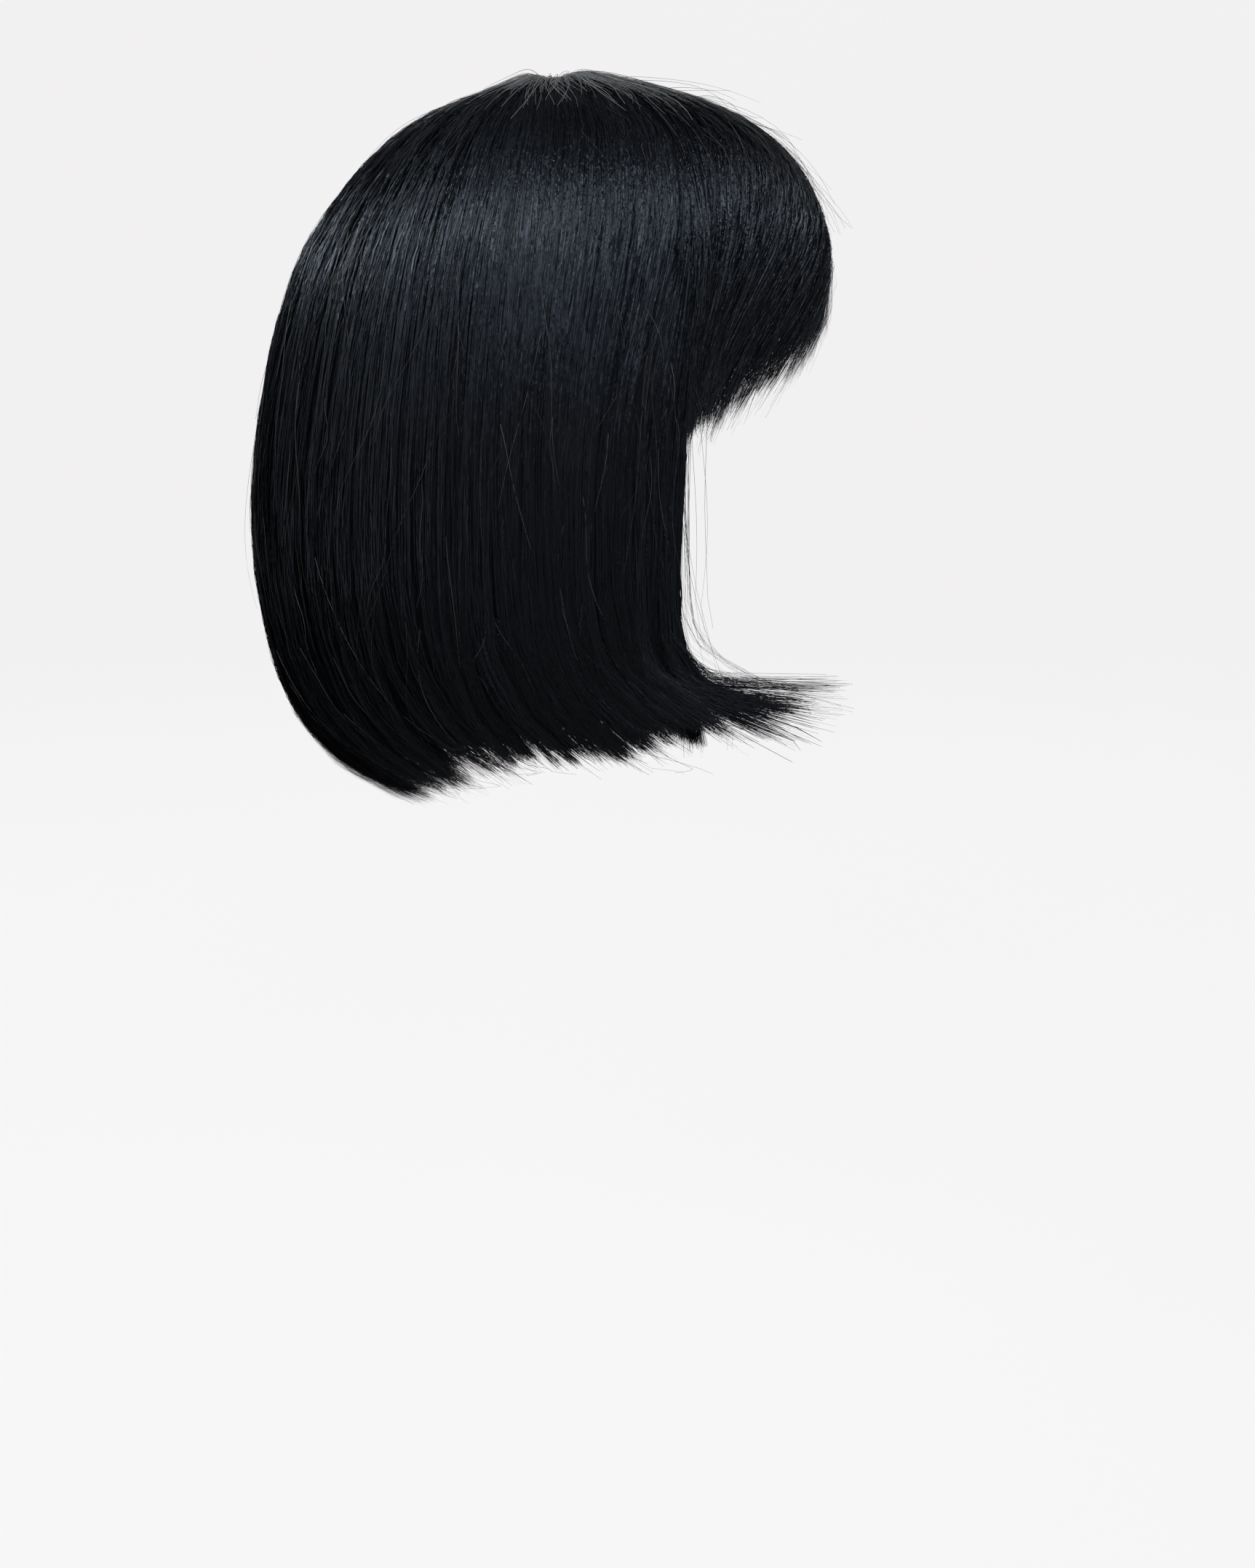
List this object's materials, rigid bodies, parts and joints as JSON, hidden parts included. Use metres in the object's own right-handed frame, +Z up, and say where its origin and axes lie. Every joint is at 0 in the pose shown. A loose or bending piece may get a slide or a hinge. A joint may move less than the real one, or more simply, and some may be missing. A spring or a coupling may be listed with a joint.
{
  "type": "bob wig",
  "caption": "Chin-length black bob wig with a side-swept fringe, on a hollow cap that is open below and at the face for a head",
  "frame": {"origin": "inside of the cap at its highest point, where the top of the head touches it", "axes": "+Z up, the face looks along -Y, the wearer's left side is at +X"},
  "size_m": [0.197, 0.2384, 0.2969],
  "materials": {
    "hair": "straight glossy black synthetic fibre with a faint blue sheen",
    "cap_net": "matt black stretch net with sewn wefts"
  },
  "bodies": {
    "root": {"cap": "cap_net", "fringe": "hair", "side_hair_right": "hair", "side_hair_left": "hair", "back_hair": "hair", "face_lock_right": "hair", "face_lock_left": "hair", "nape_hair": "hair"}
  },
  "joints": []
}
